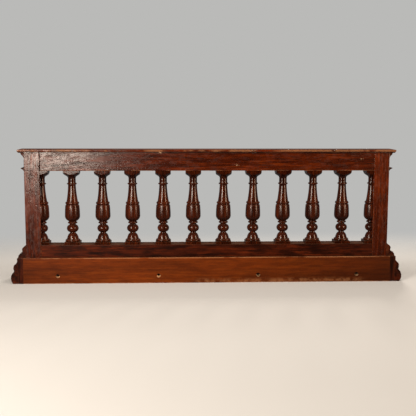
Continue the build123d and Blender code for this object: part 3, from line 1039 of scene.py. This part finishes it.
@dataclass
class Balusters:
    """The row of turned balusters, with a half one at each post. Sizes in millimetres."""

    slot: str = "turned_walnut"
    billet: float = 107.0
    block: float = 17.5
    torus: Point = (16.5, 51.5)
    bell: Triple = (37.0, 40.5, 27.5)
    bell_cove: float = 8.0
    lower_neck: Point = (4.0, 19.5)
    ball: Point = (53.0, 40.6)
    upper_neck: Point = (8.0, 21.5)
    ring: Point = (11.5, 33.0)
    vase_foot: Point = (5.0, 26.0)
    vase_bowl: Point = (32.5, 52.0)
    vase_wall: Point = (76.0, 48.2)
    groove: Triple = (5.0, 5.0, 43.0)
    collar: Point = (15.5, 47.5)
    shaft: Triple = (121.5, 39.5, 26.2)
    astragal: Point = (10.5, 34.0)
    capital_neck: Point = (28.0, 26.5)
    capital_cove: Point = (18.0, 32.5)
    echinus: float = 31.0
    abacus: float = 10.5
    corner_share: float = 0.72
    bell_swell: float = 0.07
    cove_swell: float = -0.12
    bowl_swell: float = 0.135
    wall_swell: float = 0.014
    groove_swell: float = 0.2
    shaft_swell: float = -0.018
    echinus_swell: float = 0.02
    ease: float = 0.9
    arris: float = 0.8
    wobble: float = 0.7
    chip_depth: float = 1.4
    chip_scale: float = 55.0
    around: int = 96
    tone: tuple[float, ...] = (0.8, 1.15, 1.05, 0.92, 1.0, 1.0, 1.25, 1.05, 0.85, 0.7, 0.85)
    axis_drift: tuple[float, ...] = (1.5, 2.2, -1.5, 1.1, 0.6, 1.9, -0.6, -1.3, 0.8, -1.6)

    def profile(self) -> Profile:
        """Draws the turned outline from the sill up: across is the radius."""
        corner = self.billet * self.corner_share
        up = self.block
        turned = Profile([(corner, 0.0)]).line(corner, up)
        root = self.torus[1] - self.torus[0] / 2
        turned.line(root, up)
        up += self.torus[0]
        turned.bow(root, up, HALF_ROUND, 10).line(self.bell[1], up)
        up += self.bell[0]
        turned.bow(self.bell[2], up, self.bell_swell, 10)
        up += self.bell_cove
        turned.bow(self.lower_neck[1], up, self.cove_swell, 5)
        up += self.lower_neck[0]
        turned.line(self.lower_neck[1], up)
        up += self.ball[0]
        swell = self.ball[1] - (self.lower_neck[1] + self.upper_neck[1]) / 2
        turned.bow(self.upper_neck[1], up, swell / self.ball[0], 18)
        up += self.upper_neck[0]
        root = self.ring[1] - self.ring[0] / 2
        turned.line(self.upper_neck[1], up).line(root, up)
        up += self.ring[0]
        turned.bow(root, up, HALF_ROUND, 8).line(self.vase_foot[1], up)
        up += self.vase_foot[0]
        turned.line(self.vase_foot[1], up)
        up += self.vase_bowl[0]
        turned.bow(self.vase_bowl[1], up, self.bowl_swell, 12)
        up += self.vase_wall[0]
        turned.bow(self.vase_wall[1], up, self.wall_swell, 8)
        up += self.groove[0]
        turned.bow(self.groove[2], up, self.groove_swell, 5)
        up += self.groove[1]
        turned.line(self.groove[2], up)
        up += self.collar[0]
        swell = self.collar[1] - self.groove[2]
        turned.bow(self.groove[2], up, swell / self.collar[0], 8).line(self.shaft[1], up)
        up += self.shaft[0]
        turned.bow(self.shaft[2], up, self.shaft_swell, 10)
        root = self.astragal[1] - self.astragal[0] / 2
        turned.line(root, up)
        up += self.astragal[0]
        turned.bow(root, up, HALF_ROUND, 8).line(self.capital_neck[1], up)
        up += self.capital_neck[0]
        turned.line(self.capital_neck[1], up, 2)
        up += self.capital_cove[0]
        turned.bow(self.capital_cove[1], up, self.cove_swell, 8)
        up += self.echinus
        turned.bow(corner, up, self.echinus_swell, 30)
        return turned.line(corner, up + self.abacus, 2).eased(self.ease, closed=False)

    def build(self, shop: Workshop) -> None:
        """Turns every baluster and sets it on the sill."""
        profile = self.profile()
        carrier = profile.carrier("baluster.profile", closed=False)
        sill_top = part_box("sill_rail")[1].z
        nodes = [(f"baluster_{i + 1:02d}", 0.0, drift * MM) for i, drift in enumerate(self.axis_drift)]
        nodes += [(f"half_baluster_{side.label}", -float(side.value), 0.0) for side in Side]
        for node, keep, drift in nodes:
            low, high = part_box(node)
            axis_x = {1.0: low.x, -1.0: high.x}.get(keep, (low.x + high.x) / 2)
            piece = shop.piece(shop.turning, node, self.slot, Grain.Z, {
                "Profile": carrier, "Rows": len(profile.points), "Around": self.around,
                "Half Width": self.billet / 2 * MM, "Arris": self.arris * MM, "Wobble": self.wobble * MM,
                "Place": (axis_x + drift, (low.y + high.y) / 2, sill_top), "Keep Side": keep,
                "Chip Depth": self.chip_depth * MM, "Chip Scale": self.chip_scale})
            piece.tone = self.tone
            piece.dress()
            piece.stand_for(node)
        drop(carrier)


@dataclass
class Posts:
    """The two flat end posts, the left one with two old splits. Sizes in millimetres.

    The points of the splits are x from the post's outer edge, and z.
    """

    slot: str = "frame_walnut"
    lining: str = "old_crack"
    ease: float = 1.6
    rub: float = 0.4
    cross_split: tuple[Point, ...] = ((-4.0, 785.0), (30.0, 784.2), (52.0, 785.2), (69.0, 783.2))
    long_split: tuple[Point, ...] = ((62.5, 786.0), (63.6, 805.0), (62.2, 822.0), (63.4, 838.0))
    split_size: Point = (4.0, 9.0)
    split_end_share: float = 0.35
    overrun: float = 2.0
    tones: ClassVar[dict[Side, Point]] = {Side.LEFT: (1.1, 1.2), Side.RIGHT: (0.9, 1.75)}

    def build(self, shop: Workshop) -> None:
        """Runs each post up from the floor and splits the left one."""
        for side in Side:
            node = f"{side.label}_post"
            low, high = millimetres(node)
            section = rectangle(low.x, low.y, high.x, high.y, self.ease)
            piece = shop.straight(node, self.slot, Grain.Z, section, ORIGIN, ALONG_Z, ALONG_X, ALONG_Y,
                                  (low.z * MM, high.z * MM), rub=self.rub)
            if side is Side.LEFT:
                paths = [[(low.x + x, z) for x, z in path] for path in (self.cross_split, self.long_split)]
                shop.carve(piece, [self.wedge(path, low.y, shop.materials[self.lining]) for path in paths])
            piece.tone = self.tones[side]
            piece.dress()
            piece.stand_for(node)

    def wedge(self, path: list[Point], face_y: float, lining: bpy.types.Material) -> bpy.types.Object:
        """Makes the thin wedge of a split along a path on the front face.

        Args:
            path: Its points, as x and z.
            face_y: Where the face lies.
            lining: The material of its walls.

        Returns:
            The wedge as a closed mesh.
        """
        width, depth = self.split_size
        points = np.array(path)
        runs = np.gradient(points, axis=0)
        sideways = np.stack((-runs[:, 1], runs[:, 0]), axis=1) / np.hypot(runs[:, 0], runs[:, 1])[:, None]
        open_share = np.linspace(1.0, self.split_end_share, len(points))
        proud_y = face_y - self.overrun
        form = bmesh.new()
        rows = []
        for point, side, share in zip(points, sideways, open_share):
            half = side * width / 2 * share
            edge = [(*(point + half), proud_y), (*(point - half), proud_y), (*point, face_y + depth)]
            rows.append([form.verts.new((x * MM, y * MM, z * MM)) for x, z, y in edge])
        for first, second in zip(rows, rows[1:]):
            for i in range(3):
                form.faces.new((first[i], first[i - 1], second[i - 1], second[i]))
        form.faces.new(rows[0])
        form.faces.new(rows[-1][::-1])
        bmesh.ops.recalc_face_normals(form, faces=form.faces)
        return cutting_form("crack", form, lining)


@dataclass
class Rails:
    """The sill and the frieze between the posts. Sizes in millimetres."""

    slots: ClassVar[dict[str, str]] = {"sill_rail": "moulding_walnut", "frieze_rail": "frame_walnut"}
    gaps: ClassVar[dict[str, Point]] = {"sill_rail": (3.0, 2.0), "frieze_rail": (11.0, 2.5)}
    tones: ClassVar[dict[str, Point]] = {"sill_rail": (1.35, 0.95), "frieze_rail": (1.0, 1.12)}
    ease: float = 1.8
    rub: float = 0.65
    chip_depth: float = 1.6

    def build(self, shop: Workshop) -> None:
        """Runs both rails from post to post."""
        left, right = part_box("left_post")[1].x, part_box("right_post")[0].x
        for node, slot in self.slots.items():
            low, high = millimetres(node)
            section = rectangle(low.y, low.z, high.y, high.z, self.ease)
            gaps = self.gaps[node]
            piece = shop.straight(node, slot, Grain.X, section, ORIGIN, ALONG_X, ALONG_Y, ALONG_Z,
                                  (left, right), rub=self.rub, gap_start=gaps[0] * MM,
                                  gap_end=gaps[1] * MM, chip_depth=self.chip_depth * MM)
            piece.tone = self.tones[node]
            piece.dress()
            piece.stand_for(node)


@dataclass
class Cap:
    """The cap board, nosed at its ends and back, with a worn lip at the front. Sizes in millimetres."""

    slot: str = "frame_walnut"
    nose: float = 7.0
    lip: float = 3.0
    pitch: float = 9.0
    flat_inset_share: float = 3.0
    nose_cuts: int = 12
    corner_wear: float = 0.35
    nose_wear: float = 0.75
    chip_depth: float = 3.2
    chip_scale: float = 30.0
    tone: Point = (1.6, 1.5)

    def rim(self, inset_nose: float, inset_lip: float) -> list[Triple]:
        """Lays points round the board's edge, anticlockwise seen from above.

        Args:
            inset_nose: How far the ends and the back come in.
            inset_lip: How far the front comes in.

        Returns:
            The points in metres, at zero height.
        """
        low, high = millimetres("cap_board")
        corners = [(low.x + inset_nose, low.y + inset_lip), (high.x - inset_nose, low.y + inset_lip),
                   (high.x - inset_nose, high.y - inset_nose), (low.x + inset_nose, high.y - inset_nose)]
        counts = [round((high.x - low.x) / self.pitch), round((high.y - low.y) / self.pitch)] * 2
        outline = Profile([corners[0]])
        for corner, count in zip(corners[1:] + corners[:1], counts):
            outline.line(*corner, count)
        return [(x * MM, y * MM, 0.0) for x, y in outline.points[:-1]]

    def build(self, shop: Workshop) -> None:
        """Lays the board on the frieze and the posts."""
        low, high = millimetres("cap_board")
        thick = high.z - low.z
        turns = [math.pi * i / self.nose_cuts for i in range(1, self.nose_cuts)]
        edge = Profile([(self.flat_inset_share, 0.0), (1.0, 0.0)])
        for turn in turns:
            edge.points.append((1.0 - math.sin(turn), thick / 2 * (1 - math.cos(turn))))
        edge.line(1.0, thick).line(self.flat_inset_share, thick)
        nose_wear = [self.nose_wear * math.sin(turn) ** 0.5 for turn in turns]
        wear = [0.0, self.corner_wear, *nose_wear, self.corner_wear, 0.0]
        edge_points = [(a * MM, w, u * MM) for (a, u), w in zip(edge.points, wear)]
        rims = {"Rim": self.rim(0.0, 0.0), "Inner Rim": self.rim(self.nose, self.lip)}
        carriers = {name: point_carrier(f"cap.{name}", points) for name, points in rims.items()}
        carriers["Edge"] = point_carrier("cap.edge", edge_points)
        piece = shop.piece(shop.slab, "cap_board", self.slot, Grain.X, {
            **carriers, "Around": len(rims["Rim"]), "Rows": len(edge.points), "Base": low.z * MM,
            "Chip Depth": self.chip_depth * MM, "Chip Scale": self.chip_scale})
        piece.tone = self.tone
        piece.dress()
        piece.stand_for("cap_board")
        for carrier in carriers.values():
            drop(carrier)


@dataclass
class Course:
    """One moulding round the ends and the back: its section and where it starts."""

    name: str
    section: Profile
    corner: Triple
    bottom: float


@dataclass
class Mouldings:
    """The four moulded courses and the blocks behind the lowest. Sizes in millimetres.

    An outline's numbers are out from the post or block, up from the foot, and then the swell of a bow.
    The second number of cornice_ogee, cornice_nose, neck_cove and base_ogee is down from the top.
    """

    slot: str = "moulding_walnut"
    ease: float = 1.1
    cornice_foot: float = 2.0
    cornice_ogee: Triple = (20.0, 8.0, -0.12)
    cornice_nose: Point = (39.0, 6.0)
    neck_foot: float = 2.0
    neck_cove: Triple = (21.0, 6.0, -0.14)
    base_cap_foot: Point = (56.0, 3.5)
    base_cap_round: Triple = (42.5, 29.0, 0.1)
    base_cap_steps: tuple[Point, ...] = ((25.5, 32.0), (25.5, 50.0), (27.0, 53.0), (27.0, 64.0))
    base_cap_crown: float = 0.06
    base_foot: float = 35.0
    base_rounds: tuple[Triple, ...] = ((49.0, 40.0, 0.0849), (28.0, 84.0, 0.1132))
    base_cove: Triple = (30.0, 100.0, -0.15)
    base_fillet: Point = (30.0, 118.0)
    base_ogee: Triple = (4.0, 21.0, 0.1)

    def cornice(self, height: float) -> Profile:
        """Draws the cornice: across is out from the post, up runs from its foot."""
        out, down, swell = self.cornice_ogee
        nose, nose_down = self.cornice_nose
        outline = Profile([(0.0, 0.0), (self.cornice_foot, 0.0)]).ogee(out, height - down, swell)
        return outline.line(nose, height - nose_down).line(nose, height).line(0.0, height).eased(self.ease)

    def neck(self, height: float) -> Profile:
        """Draws the neck moulding."""
        out, down, swell = self.neck_cove
        outline = Profile([(0.0, 0.0), (self.neck_foot, 0.0)]).bow(out, height - down, swell)
        return outline.line(out, height).line(0.0, height).eased(self.ease)

    def base_cap(self, height: float) -> Profile:
        """Draws the upper base moulding."""
        foot = self.base_cap_foot
        outline = Profile([(0.0, 0.0), (foot[0], 0.0), foot]).bow(*self.base_cap_round)
        for point in self.base_cap_steps:
            outline.line(*point)
        return outline.bow(0.0, height, self.base_cap_crown).eased(self.ease)

    def base(self, height: float) -> Profile:
        """Draws the lower base moulding."""
        outline = Profile([(0.0, 0.0), (self.base_foot, 0.0)])
        for bow in self.base_rounds:
            outline.bow(*bow, 10)
        out, down, swell = self.base_ogee
        outline.bow(*self.base_cove, 6).line(*self.base_fillet).ogee(out, height - down, swell)
        return outline.line(out, height).line(0.0, height).eased(self.ease)

    def courses(self) -> list[Course]:
        """Gives the four courses, with the corner that each turns and its front end."""
        post_low, post_high = millimetres("right_post")
        block_high = millimetres("base_block_back")[1]
        block_front = millimetres("base_block_right")[0].y
        post = (post_high.x, post_low.y, post_high.y)
        block = (block_high.x, block_front, block_high.y)
        drawn = (("cornice", self.cornice, post), ("neck_moulding", self.neck, post),
                 ("base_cap_moulding", self.base_cap, post), ("base_moulding", self.base, block))
        result = []
        for name, draw, corner in drawn:
            low, high = millimetres(f"{name}_back")
            result.append(Course(name, draw(high.z - low.z), corner, low.z))
        return result

    def build(self, shop: Workshop) -> None:
        """Runs each course round the ends and the back, and sets the blocks."""
        for course in self.courses():
            corner_x, front, back = (value * MM for value in course.corner)
            for side in Side:
                node = f"{course.name}_{side.label}"
                place = (side.value * corner_x, 0.0, course.bottom * MM)
                piece = shop.straight(node, self.slot, Grain.Y, course.section, place, ALONG_Y, side.out,
                                      ALONG_Z, (front, back), mitre_end=1.0)
                piece.dress()
                piece.stand_for(node)
            node = f"{course.name}_back"
            place = (0.0, back, course.bottom * MM)
            piece = shop.straight(node, self.slot, Grain.X, course.section, place, ALONG_X, ALONG_Y, ALONG_Z,
                                  (-corner_x, corner_x), mitre_start=-1.0, mitre_end=1.0)
            piece.dress()
            piece.stand_for(node)
        self.blocks(shop)

    def blocks(self, shop: Workshop) -> None:
        """Sets the three blocks that carry the lowest course."""
        board_high = millimetres("front_plinth_board")[1]
        for side in Side:
            node = f"base_block_{side.label}"
            low, high = millimetres(node)
            inner, outer = sorted((abs(low.x), abs(high.x)))
            plan = Profile([(inner, high.y), (inner, board_high.y), (board_high.x, board_high.y),
                            (board_high.x, low.y), (outer, low.y), (outer, high.y)]).eased(self.ease)
            piece = shop.straight(node, self.slot, Grain.Z, plan, ORIGIN, ALONG_Z, side.out, ALONG_Y,
                                  (low.z * MM, high.z * MM))
            piece.dress()
            piece.stand_for(node)
        low, high = millimetres("base_block_back")
        plan = rectangle(low.y, low.z, high.y, high.z, self.ease)
        piece = shop.straight("base_block_back", self.slot, Grain.X, plan, ORIGIN, ALONG_X, ALONG_Y, ALONG_Z,
                              (low.x * MM, high.x * MM))
        piece.dress()
        piece.stand_for("base_block_back")


@dataclass
class Plinth:
    """The newer board over the foot of the front, with its drilled holes. Sizes in millimetres."""

    slot: str = "plinth_wood"
    fresh: str = "fresh_wood"
    ease: float = 2.0
    hole_count: int = 4
    hole_spacing: float = 695.0
    hole_height: float = 53.5
    hole_radius: float = 6.5
    bore_radius: float = 14.0
    bore_depth: float = 9.0
    overrun: float = 5.0
    drill_sides: int = 40
    tone: tuple[float, ...] = (0.72, 1.06, 0.92, 0.66, 0.4)

    def build(self, shop: Workshop) -> None:
        """Runs the board along the front and drills it."""
        low, high = millimetres("front_plinth_board")
        section = rectangle(low.y, low.z, high.y, high.z, self.ease)
        piece = shop.straight("front_plinth_board", self.slot, Grain.X, section, ORIGIN, ALONG_X, ALONG_Y,
                              ALONG_Z, (low.x * MM, high.x * MM))
        first = -self.hole_spacing * (self.hole_count - 1) / 2
        start, lining = low.y - self.overrun, shop.materials[self.fresh]
        for i in range(self.hole_count):
            x = first + i * self.hole_spacing
            drills = [self.drill(x, start, low.y + self.bore_depth, self.bore_radius, lining),
                      self.drill(x, start, high.y + self.overrun, self.hole_radius, lining)]
            shop.carve(piece, drills)
        piece.tone = self.tone
        piece.dress()
        piece.stand_for("front_plinth_board")

    def drill(self, x: float, start_y: float, end_y: float, radius: float,
              lining: bpy.types.Material) -> bpy.types.Object:
        """Makes the form of one drilled hole.

        Args:
            x: Where it is drilled.
            start_y: Where it starts.
            end_y: Where it ends.
            radius: Its radius.
            lining: The material of its wall.

        Returns:
            The form as a closed mesh.
        """
        form = bmesh.new()
        middle = Matrix.Translation((x * MM, (start_y + end_y) / 2 * MM, self.hole_height * MM))
        bmesh.ops.create_cone(form, cap_ends=True, segments=self.drill_sides, radius1=radius * MM,
                              radius2=radius * MM, depth=(end_y - start_y) * MM,
                              matrix=middle @ Matrix.Rotation(math.pi / 2, 4, "X"))
        return cutting_form("drill", form, lining)


@dataclass(frozen=True)
class Lamp:
    """A soft rectangular lamp, pointed from its place at its target. Sizes in metres."""

    name: str
    place: Triple
    target: Triple
    size: Point
    watts: float
    colour: Triple
    rays: Rays

    def hang(self) -> None:
        """Hangs the lamp in the scene."""
        light = bpy.data.lights.new(self.name, "AREA")
        light.shape, light.size, light.size_y = "RECTANGLE", *self.size
        light.energy, light.color = self.watts, self.colour
        lamp = set_down(self.name, light)
        lamp.visible_diffuse, lamp.visible_glossy = self.rays.value
        lamp.location = self.place
        lamp.rotation_euler = (Vector(self.target) - Vector(self.place)).to_track_quat("-Z", "Y").to_euler()


LAMPS = (
    Lamp("key_lamp", place=(-2.7, -4.2, 2.1), target=(-0.6, 0.0, 0.6), size=(0.9, 0.7), watts=200.0,
         colour=(1.0, 0.96, 0.9), rays=Rays.SHADING),
    Lamp("side_lamp", place=(4.2, -3.2, 1.8), target=(0.2, 0.0, 0.5), size=(0.6, 0.6), watts=90.0,
         colour=(1.0, 0.9, 0.78), rays=Rays.SHADING),
    Lamp("top_lamp", place=(0.0, -1.2, 4.2), target=(0.0, 0.0, 0.5), size=(4.0, 2.0), watts=90.0,
         colour=(1.0, 1.0, 1.0), rays=Rays.SHADING),
    Lamp("back_lamp", place=(1.4, 4.0, 2.2), target=(0.0, 0.0, 0.4), size=(1.6, 1.0), watts=160.0,
         colour=(1.0, 0.98, 0.95), rays=Rays.SHADING),
    Lamp("left_window", place=(-2.4, -3.0, 1.9), target=(-0.6, 0.0, 1.9), size=(0.5, 2.3), watts=92.0,
         colour=(1.0, 0.84, 0.69), rays=Rays.SHINE),
    Lamp("low_window", place=(-1.5, -3.0, 0.83), target=(-0.6, 0.0, 0.83), size=(0.64, 0.48), watts=26.0,
         colour=(1.0, 0.86, 0.73), rays=Rays.SHINE),
    Lamp("right_window", place=(3.4, -2.5, 1.6), target=(0.2, 0.0, 1.6), size=(0.9, 2.4), watts=100.0,
         colour=(1.0, 0.7, 0.48), rays=Rays.SHINE),
)


@dataclass
class Studio:
    """A pale floor, a dark cloth, soft lamps and the camera. Sizes in metres, angles in degrees."""

    camera_place: Triple = (-0.249, -5.3035, 1.189)
    yaw: float = 2.70
    pitch: float = 7.29
    roll: float = 0.15
    focal_share: float = 758.5 / 416
    sensor: float = 36.0
    floor_reach: float = 14.0
    floor_back: Point = (0.3, 2.2)
    floor_fade: Point = (2.4, 4.6)
    floor_colour: Colour = srgb(216, 207, 197)
    air_colour: Colour = srgb(186, 186, 184)
    air_strength: float = 0.26
    flag_half: float = 9.0
    flag_y: float = -6.8
    flag_heights: Point = (-4.0, 5.0)
    flag_colour: Colour = srgb(30, 28, 26)

    def build(self) -> None:
        """Sets the stage, the lamps and the camera."""
        self.floor()
        self.air()
        self.flag()
        for lamp in LAMPS:
            lamp.hang()
        self.camera()
        bpy.context.scene.view_settings.view_transform = "Standard"

    @staticmethod
    def sheet(name: str, corners: list[Triple], material: bpy.types.Material) -> bpy.types.Object:
        """Makes a flat sheet with four corners."""
        mesh = bpy.data.meshes.new(name)
        mesh.from_pydata(corners, [], [(0, 1, 2, 3)])
        mesh.materials.append(material)
        return set_down(name, mesh)

    def floor(self) -> None:
        """Lays a floor that fades into the air far from the piece."""
        material, kit = bare_material("pale_floor")
        place = kit.add("ShaderNodeTexCoord").outputs["Object"]
        behind = kit.step(kit.split(place)[1], *self.floor_back)
        far = kit.math("MAXIMUM", behind, kit.step(kit.length(place), *self.floor_fade))
        matt = kit.add("ShaderNodeBsdfDiffuse", self.floor_colour)
        clear = kit.add("ShaderNodeBsdfTransparent")
        mix = kit.add("ShaderNodeMixShader", far, matt.outputs[0], clear.outputs[0])
        kit.add("ShaderNodeOutputMaterial", mix.outputs[0])
        reach = self.floor_reach
        corners = [(-reach, -reach, 0.0), (reach, -reach, 0.0), (reach, reach, 0.0), (-reach, reach, 0.0)]
        floor = self.sheet("floor", corners, material)
        floor.visible_glossy = False

    def air(self) -> None:
        """Fills the air with soft pale light."""
        world = bpy.data.worlds.new("pale_air")
        world.use_nodes = True
        kit = NodeKit(world.node_tree)
        kit.tree.nodes.clear()
        path = kit.add("ShaderNodeLightPath").outputs
        seen = kit.math("ADD", path["Is Camera Ray"], path["Is Transmission Ray"])
        strength = kit.add("ShaderNodeMapRange", seen, 0.0, 1.0, self.air_strength, 1.0).outputs[0]
        light = kit.add("ShaderNodeBackground", self.air_colour, strength)
        kit.add("ShaderNodeOutputWorld", light.outputs[0])
        bpy.context.scene.world = world

    def flag(self) -> None:
        """Hangs a dark cloth far in front, which keeps pale reflections off the polished faces."""
        material, kit = bare_material("dark_cloth")
        matt = kit.add("ShaderNodeBsdfDiffuse", self.flag_colour)
        kit.add("ShaderNodeOutputMaterial", matt.outputs[0])
        half, y, (low, high) = self.flag_half, self.flag_y, self.flag_heights
        corners = [(-half, y, low), (half, y, low), (half, y, high), (-half, y, high)]
        flag = self.sheet("flag", corners, material)
        flag.visible_camera = False

    def camera(self) -> None:
        """Sets the camera where the picture was taken from."""
        yaw, pitch, roll = (math.radians(angle) for angle in (self.yaw, self.pitch, self.roll))
        level_right = Vector((math.cos(yaw), -math.sin(yaw), 0))
        level_ahead = Vector((math.sin(yaw), math.cos(yaw), 0))
        ahead = level_ahead * math.cos(pitch) - Vector(ALONG_Z) * math.sin(pitch)
        up = Vector(ALONG_Z) * math.cos(pitch) + level_ahead * math.sin(pitch)
        right = level_right * math.cos(roll) + up * math.sin(roll)
        up = up * math.cos(roll) - level_right * math.sin(roll)
        data = bpy.data.cameras.new("camera")
        data.sensor_fit, data.sensor_width = "HORIZONTAL", self.sensor
        data.lens = self.sensor * self.focal_share
        camera = set_down("camera", data)
        turn = Matrix((right, up, -ahead)).transposed().to_4x4()
        camera.matrix_world = Matrix.Translation(self.camera_place) @ turn
        bpy.context.scene.camera = camera


KNOCKS = ((-0.999, 0.895, 0.03), (-1.041, 0.812, 0.024), (-0.973, 0.812, 0.036), (-1.121, 0.855, 0.02),
          (-1.13, 0.825, 0.02), (-1.06, 0.885, 0.026), (-1.222, 0.905, 0.024), (-1.205, 0.745, 0.024),
          (-0.9, 0.835, 0.03), (-1.15, 0.917, 0.014), (-1.05, 0.919, 0.018), (-0.93, 0.917, 0.016),
          (-0.62, 0.92, 0.014), (0.31, 0.919, 0.012))
CHIPS = ((-0.333, 0.909, 0.0065), (0.196, 0.82, 0.0055), (1.058, 0.861, 0.0055))
FINISHES = (
    # The frame's band just below the cap's lip is painted shadow of the lip, partly real dirt.
    WoodFinish("frame_walnut", dark=srgb(40, 9, 1), middle=srgb(68, 18, 1), light=srgb(105, 40, 7),
               worn=srgb(158, 104, 66), roughness=0.22, specular=0.4, coat=0.3, streak_width=0.008,
               edge_wear=0.55, dents=2.5, bump=0.3, dull_patches=1.0, dull_gain=0.16, blotches=0.32,
               dashes=0.55, knocks=KNOCKS, chips=CHIPS, grimy_band=(0.895, 0.906, 0.911, 0.9125),
               band_share=0.6),
    WoodFinish("turned_walnut", dark=srgb(34, 9, 1), middle=srgb(56, 17, 3), light=srgb(88, 33, 8),
               worn=srgb(92, 40, 14), roughness=0.16, specular=0.36, dull_gain=0.07,
               dull_band=(0.415, 0.425, 0.535, 0.55), streak_width=0.008, edge_wear=0.3, grime_share=0.9,
               dents=0.04, bump=0.05, blotches=0.3, dashes=0.3),
    WoodFinish("moulding_walnut", dark=srgb(28, 7, 1), middle=srgb(54, 13, 1), light=srgb(86, 30, 4),
               worn=srgb(90, 48, 24), roughness=0.42, specular=0.12, streak_width=0.008, edge_wear=0.3,
               blotches=0.55, dashes=0.7),
    # The plinth darkens towards its foot as painted shade.
    WoodFinish("plinth_wood", dark=srgb(92, 33, 1), middle=srgb(108, 42, 2), light=srgb(124, 54, 6),
               worn=srgb(176, 116, 72), streak_width=0.012, roughness=0.45, specular=0.12, edge_wear=0.6,
               scuff_share=0.4, grime_share=0.4, scuff_spans=((-0.05, 0.36), (0.46, 1.04)), foot_shade=0.82,
               blotches=0.16, dashes=0.14),
    WoodFinish("old_crack", dark=srgb(14, 6, 2), middle=srgb(20, 8, 3), light=srgb(28, 12, 5),
               worn=srgb(30, 14, 6), roughness=0.9, specular=0.12, dust_share=0.0),
    # The fresh wood's band darkens the upper half of each bore: painted shadow.
    WoodFinish("fresh_wood", dark=srgb(150, 100, 60), middle=srgb(196, 146, 100), light=srgb(222, 180, 134),
               worn=srgb(230, 195, 150), roughness=0.7, specular=0.3, dust_share=0.0,
               grimy_band=(0.051, 0.056, 2.2, 2.3)),
)


def main() -> None:
    """Builds every sub-assembly round the frame, then the stage."""
    logging.basicConfig(level=logging.INFO, format="%(name)s: %(message)s")
    shop = Workshop(FINISHES)
    for part in (Balusters(), Posts(), Rails(), Cap(), Mouldings(), Plinth()):
        part.build(shop)
    Studio().build()
    LOG.info("%d pieces", shop.made)


if __name__ == "__main__":
    main()
